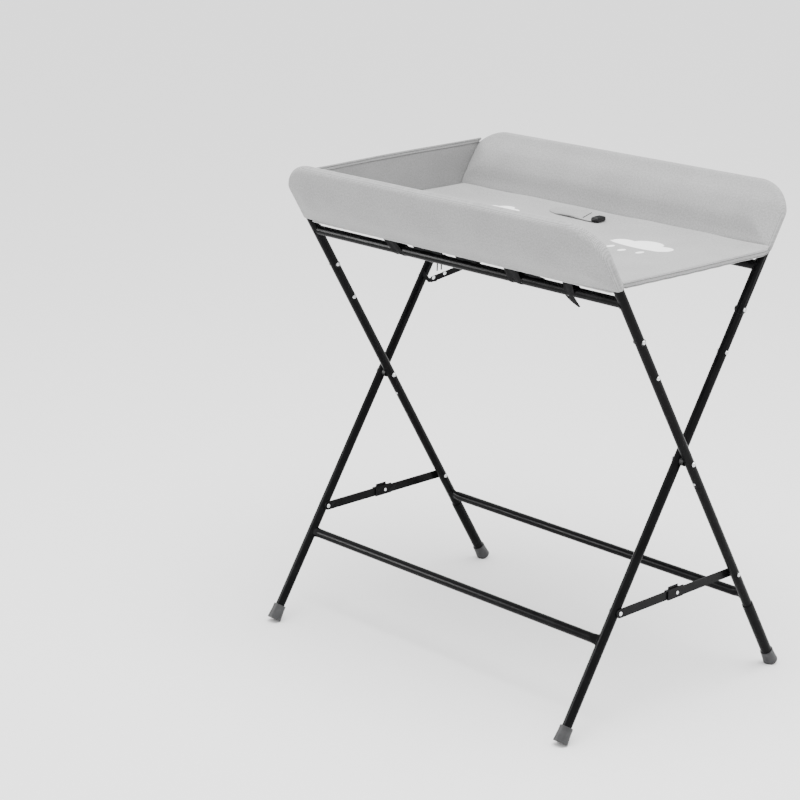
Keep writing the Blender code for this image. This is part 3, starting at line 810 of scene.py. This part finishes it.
def ovalMask(material, flat, centre, size):
    # 1 inside an oval and 0 outside: the length of the place scaled by the oval's own half sizes
    place = addNode(material, "ShaderNodeMapping", {"Vector": flat, "Location": (-centre[0], -centre[1], 0)})
    scaled = addNode(material, "ShaderNodeMapping",
                     {"Vector": place.outputs["Vector"], "Scale": (1 / size[0], 1 / size[1], 0)})
    distance = addNode(material, "ShaderNodeVectorMath", {0: scaled.outputs["Vector"]}, operation="LENGTH")
    return addNode(material, "ShaderNodeMapRange",
                   {"Value": distance.outputs["Value"], "From Min": 1.05, "From Max": 0.95}).outputs["Result"]


def cloudMask(material, flat, x, y, scale):
    # a cloud is the union of a few ovals, with drops below it
    ovals = matPrint["lobes"] + [(*drop, *matPrint["drop"]) for drop in matPrint["drops"]]
    masks = [ovalMask(material, flat, (x + aside * scale, y + up * scale), (wide * scale, tall * scale))
             for aside, up, wide, tall in ovals]
    whole = masks[0]
    for mask in masks[1:]:
        whole = addNode(material, "ShaderNodeMath", {0: whole, 1: mask}, operation="MAXIMUM").outputs["Value"]
    return whole


def printedCloth():
    # Coated cloth, screen printed with a plain rain cloud at two sizes, in a slightly worn pale ink
    material, shader, flat, colour = clothBase("greyCoatedClothPrinted", "848484", "AEAEAE")
    large, small = (cloudMask(material, flat, *cloud) for cloud in matPrint["clouds"])
    shapes = addNode(material, "ShaderNodeMath", {0: large, 1: small}, operation="MAXIMUM").outputs["Value"]
    worn = addNode(material, "ShaderNodeTexNoise",
                   {"Vector": flat, "Scale": 500.0, "Detail": 3.0}).outputs["Fac"]
    ink = addNode(material, "ShaderNodeMapRange", {"Value": worn, "From Min": 0.25, "From Max": 0.5,
                                                   "To Min": 0.7, "To Max": 1.0}).outputs["Result"]
    cover = addNode(material, "ShaderNodeMath", {0: shapes, 1: ink}, operation="MULTIPLY").outputs["Value"]
    mixed = addNode(material, "ShaderNodeMix", {0: cover, 6: colour, 7: linearColour("FAFAFA")},
                    data_type="RGBA")
    material.node_tree.links.new(mixed.outputs[2], shader.inputs["Base Color"])
    return material


def matTop(x, y):
    # the mat lies flat in the middle and curves up into the padded sides and the head panel,
    # and less into the foot hem
    m = matSize
    up = np.clip((np.abs(y) - m["riseFrom"]) / (m["reach"] - m["riseFrom"]), 0, 1) ** 1.7 * m["rise"]
    head = np.clip((-0.31 - x) / 0.09, 0, 1) ** 2 * m["headRise"]
    foot = np.clip((x - 0.20) / 0.20, 0, 1) ** 2 * m["footRise"]
    wave = 0.0006 * np.sin(x * 19 + 1.3) * np.sin(y * 23) + 0.0004 * np.sin(x * 41 + y * 17)
    return boxOf("mat_pad")[1][2] + np.maximum(up, np.maximum(head, foot)) + wave


def makeMat():
    low, high = boxOf("mat_pad")
    m = matSize
    u = np.linspace(-1, 1, m["columns"])
    v = np.linspace(-1, 1, m["rows"])
    x, y = np.meshgrid(u * high[0], v * m["reach"])
    edge = np.minimum((1 - np.abs(u))[None] * high[0], (1 - np.abs(v))[:, None] * m["reach"])
    rim = np.sqrt(np.clip(1 - (1 - np.clip(edge / m["edge"], 0, 1)) ** 2, 0, 1))
    thick = (high[2] - low[2]) * (1 - 0.65 * np.clip((np.abs(y) - m["riseFrom"]) / 0.035, 0, 1))
    top = matTop(x, y)
    middle = top - thick / 2
    quilt = 0.0012 * np.exp(-((high[0] - 0.017 - x) / 0.0022) ** 2)
    topSide = middle + thick / 2 * rim - quilt * rim
    underSide = middle - thick / 2 * rim
    above, below = (np.stack([x, y, side], axis=-1) for side in (topSide, underSide))
    grid = np.concatenate([above, below[::-1]], axis=0)
    piece = surface("changing_mat", grid, closedRows=True, closedColumns=False, caps=False, smoothAngle=80)
    closeRims(piece)
    ownUv(piece, (1, 0, 0), (0, 1, 0))
    dress(piece, printedCloth())
    crossFold(piece)
    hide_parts("mat_pad")


def crossFold(piece):
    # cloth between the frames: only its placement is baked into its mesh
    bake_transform(piece)


hem = {"deep": 0.0024, "thread": 0.0007, "pleats": 46}


def makeHem():
    # the bound foot edge: a flattened roll that follows the mat's edge, gathered into small pleats
    # at both corners
    low, high = boxOf("foot_hem")
    t = np.linspace(0, 1, 260)
    y = (t * 2 - 1) * (matSize["reach"] - 0.004)
    pleat = np.exp(-(t / 0.035) ** 2) + np.exp(-((1 - t) / 0.035) ** 2)
    half = (high[2] - low[2]) / 2 * (1 - 0.25 * pleat) * (1 + 0.02 * np.sin(t * 61))
    x = low[0] + 0.0014 + 0.0010 * pleat * np.sin(t * 2 * pi * hem["pleats"])
    z = matTop(high[0], y) - half + 0.0010 + 0.0008 * pleat * np.sin(t * 2 * pi * hem["pleats"] * 0.7)
    path = np.stack([x, y, z], axis=-1)
    roll = rings(path, half, hem["deep"], 28, normal=(1, 0, 0), squareness=2.6)
    piece = surface("foot_hem_binding", roll, smoothAngle=60)
    ownUv(piece, (0, 1, 0), (0.3, 0, 1))
    dress(piece, greyCloth)
    crossFold(piece)
    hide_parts("foot_hem")
    for name, share in (("upper", 0.45), ("lower", -0.55)):
        line = path + np.stack([0 * y + hem["deep"] * 0.93, 0 * y, half * share], axis=-1)
        stitch = hem["thread"] * (0.55 + 0.45 * np.abs(np.sin(t * 2 * pi * 55)))
        seam = surface(f"foot_hem_seam_{name}", rings(line, stitch, stitch, 8, normal=(1, 0, 0)),
                       smoothAngle=60)
        ownUv(seam, (0, 1, 0), (0.3, 0, 1))
        dress(seam, threadCloth)
        crossFold(seam)


panel = {"dip": 0.007, "frontX": -0.3925, "rearX": -0.4085, "bow": 0.004, "thick": 0.0030, "piping": 0.0024,
         "seamDown": 0.0062, "thread": 0.0007}


def makePanel():
    # the head panel: a thin padded cloth between the two sides, bowed outwards, with a piped top edge
    low, high = boxOf("head_panel")
    t = np.linspace(0, 1, 46)
    s = np.linspace(0, 1, 110)
    z = low[2] - 0.006 + t * (high[2] - low[2] + 0.006)
    reach = (z - pivot[2]) * np.tan(lean)
    yFront, yRear = -reach + 0.010 + 0.026 * t, reach - 0.014
    y = yFront[:, None] + (yRear - yFront)[:, None] * s[None]
    slack = 0.0012 * np.sin(s * 9)[None] * np.sin(t * 5)[:, None]
    x = panel["frontX"] + (panel["rearX"] - panel["frontX"]) * s[None] - slack
    x = x - panel["bow"] * np.sin(s * pi)[None] * (0.3 + 0.7 * t[:, None])
    ends = np.sqrt(np.clip(1 - (2 * np.abs(t - 0.5)) ** 10, 0, 1))[:, None]
    sides = np.sqrt(np.clip(1 - (2 * np.abs(s - 0.5)) ** 24, 0, 1))[None]
    thick = panel["thick"] * ends * sides
    z = z[:, None] - panel["dip"] * (1 - s)[None] * t[:, None]
    inside, outside = (np.stack([x + side * thick, y, z], axis=-1) for side in (1, -1))
    grid = np.concatenate([inside, outside[::-1]], axis=0)
    piece = surface("head_panel_cloth", grid, closedRows=True, closedColumns=False, caps=False, smoothAngle=70)
    closeRims(piece)
    ownUv(piece, (0.2, 1, 0), (0, 0, 1))
    # The panel and its piping are dressed in the darker copy of the grey cloth: painted shade.
    dress(piece, panelClothPaintedShade)
    crossFold(piece)
    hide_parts("head_panel")
    top = np.stack([x[-1], y[-1], z[-1]], axis=-1)
    for name, down, size, look in (("piping", 0.0, panel["piping"], panelClothPaintedShade),
                                   ("seam", panel["seamDown"], panel["thread"], threadCloth)):
        line = top - np.array([0, 0, down]) + np.array([panel["thick"] * (down > 0), 0, 0])
        edge = surface(f"head_panel_{name}", rings(line, size, size, 14, normal=(0, 0, 1)), smoothAngle=60)
        ownUv(edge, (0, 1, 0), (0.5, 0, 0.5))
        dress(edge, look)
        crossFold(edge)


belt = {"wide": 0.0175, "thick": 0.0011, "stitches": 11, "tilt": 0.25}


def makeBelt():
    # a soft belt comes out of the crease beside the rear padding and ends in a side-release buckle
    low, high = boxOf("belt_strap")
    buckleLow, buckleHigh = boxOf("belt_buckle")
    middleY = (buckleLow[1] + buckleHigh[1]) / 2
    t = np.linspace(0, 1, 90)
    x = low[0] + t * (buckleLow[0] + 0.003 - low[0])
    y = middleY + 0.010 * (1 - t) ** 2
    lift = 0.0034 + 0.0040 * np.sin(t * pi) ** 2 + 0.0035 * t ** 3
    wide = belt["wide"] * (0.35 + 0.65 * np.clip(t / 0.25, 0, 1) ** 0.6) * (1 - 0.10 * t ** 6)
    path = np.stack([x, y, matTop(x, y) + lift], axis=-1)
    normal = np.array([0, -belt["tilt"], 1.0])
    normal /= np.linalg.norm(normal)
    puff = belt["thick"] * (1 + 1.9 * np.sin(t * pi))
    piece = surface("belt_strap_webbing", rings(path, wide, puff, 30, normal=normal, squareness=3.2),
                    smoothAngle=60)
    ownUv(piece, (1, 0, 0), (0, 1, 0.3))
    dress(piece, greyCloth)
    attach(piece, "rear_frame")
    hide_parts("belt_strap")
    across = np.cross(normal, (1, 0, 0))
    for number in range(belt["stitches"]):
        share = (number + 0.5) / belt["stitches"] * 2 - 1
        at = int(0.80 * len(t))
        centre = path[at] + across * share * wide[at] * 0.82 + normal * puff[at] * 0.9
        run = np.linspace(-1, 1, 9)
        line = centre + run[:, None] * across * 0.0012 + normal * (0.0006 * (1 - run ** 2))[:, None]
        size = 0.0008 * np.sqrt(np.clip(1.02 - run ** 2, 0.02, 1))
        stitch = surface(f"belt_stitch_{number + 1}", rings(line, size, size, 8, normal=(1, 0, 0)),
                         smoothAngle=60)
        ownUv(stitch, (1, 0, 0), (0, 1, 0))
        dress(stitch, blackWebbing)
        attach(stitch, "rear_frame")
    makeBuckle(buckleLow, buckleHigh)


def makeBuckle(low, high):
    # the buckle half: a rounded case whose section swells in the middle, with four grip ribs on top
    middle = (low + high) / 2
    half = (high - low) / 2
    u = np.linspace(-1, 1, 40)
    swell = np.clip(1 - np.abs(u) ** 9, 0.02, 1) ** 0.5
    path = np.stack([middle[0] + 0 * u, middle[1] + u * half[1], middle[2] + 0 * u], axis=-1)
    wide = half[0] * swell * (1 - 0.10 * u)
    deep = half[2] * swell * (1 - 0.28 * np.abs(u) ** 3)
    case = surface("belt_buckle_case", rings(path, wide, deep, 44, normal=(0, 0, 1), squareness=4),
                   smoothAngle=40)
    ribs = []
    for number in range(4):
        at = middle[0] - 0.004 + number * 0.0027
        run = np.linspace(-1, 1, 15)
        line = np.stack([at + 0 * run, middle[1] + run * half[1] * 0.55, middle[2] + half[2] * 0.96 + 0 * run],
                        axis=-1)
        size = 0.0007 * np.sqrt(np.clip(1.02 - run ** 4, 0.02, 1))
        ribs.append(surface(f"belt_buckle_rib_{number}", rings(line, size, size, 10, normal=(0, 0, 1)),
                            smoothAngle=60))
    case = join([case] + ribs, "belt_buckle_case")
    dress(case, blackPlastic)
    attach(case, "rear_frame")
    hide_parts("belt_buckle")


def makeTail():
    low, high = boxOf("band_tail")
    matrix = frameMatrix("front")
    t = np.linspace(0, 1, 24)
    centre = (low[0] + high[0]) / 2 - shift
    x = centre - 0.014 + 0.016 * t
    z = railUp - tubeRadius + 0.002 - 0.030 * t
    path = np.stack([x, -0.001 * np.sin(t * 3), z], axis=-1)
    width = 0.011 * (1 - 0.80 * t ** 1.5)
    ribbon = rings(path, width, 0.0009, 16, normal=(0, 1, 0), squareness=5)
    piece = surface("band_tail_webbing", placed(ribbon, matrix), smoothAngle=50)
    ownUv(piece, (1, 0, 0), (0, 0, 1))
    dress(piece, blackWebbing)
    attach(piece, "front_frame")
    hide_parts("band_tail")


makeMat()
makeHem()
makePanel()
makeBelt()
makeTail()
print("cloth pieces made")


studio = {"floor": "FBFBFB", "sky": 1.9, "focal": 98.33, "azimuth": 45.54, "elevation": 16.58, "roll": 1.03,
          "distance": 4.3356, "target": (-0.1747, -0.1789, 0.5119)}


def makeStudio():
    mesh = bpy.data.meshes.new("floor")
    reach = 30.0
    corners = [(-reach, -reach, 0), (reach, -reach, 0), (reach, reach, 0), (-reach, reach, 0)]
    mesh.from_pydata(corners, [], [(0, 1, 2, 3)])
    floor = bpy.data.objects.new("floor", mesh)
    bpy.context.scene.collection.objects.link(floor)
    material, shader = newMaterial("palePaper", Roughness=0.9)
    shader.inputs["Base Color"].default_value = linearColour(studio["floor"])
    floor.data.materials.append(material)
    world = bpy.context.scene.world or bpy.data.worlds.new("studio")
    bpy.context.scene.world = world
    world.use_nodes = True
    world.node_tree.nodes["Background"].inputs["Color"].default_value = (1, 1, 1, 1)
    world.node_tree.nodes["Background"].inputs["Strength"].default_value = studio["sky"]
    for name, place, wide, tall, energy in (("key", (0.6, -0.4, 3.6), 2.4, 2.4, 170),
                                            ("strip", (-2.3, -2.3, 1.2), 0.35, 1.4, 110),
                                            ("rim", (2.8, 1.4, 1.6), 0.35, 1.4, 110)):
        light = bpy.data.lights.new(name, "AREA")
        light.energy = energy
        light.shape = "RECTANGLE"
        light.size, light.size_y = wide, tall
        lamp = bpy.data.objects.new(name, light)
        bpy.context.scene.collection.objects.link(lamp)
        lamp.location = place
        lamp.visible_diffuse = name == "key"
        lamp.rotation_euler = (Vector((0, 0, 0.5)) - Vector(place)).to_track_quat("-Z", "Y").to_euler()


def makeCamera():
    s = studio
    az, el, roll = (radians(s[key]) for key in ("azimuth", "elevation", "roll"))
    target = Vector(s["target"])
    place = target + s["distance"] * Vector((sin(az) * cos(el), -cos(az) * cos(el), sin(el)))
    camera = bpy.data.objects.new("camera", bpy.data.cameras.new("camera"))
    bpy.context.scene.collection.objects.link(camera)
    camera.data.lens = s["focal"]
    camera.data.sensor_width = 36
    right = Vector((cos(az), sin(az), 0))
    forward = (target - place).normalized()
    up = right.cross(forward)
    rolledRight, rolledUp = right * cos(roll) + up * sin(roll), up * cos(roll) - right * sin(roll)
    turned = Matrix((rolledRight, rolledUp, -forward)).transposed()
    camera.matrix_world = Matrix.Translation(place) @ turned.to_4x4()
    bpy.context.scene.camera = camera


makeStudio()
makeCamera()
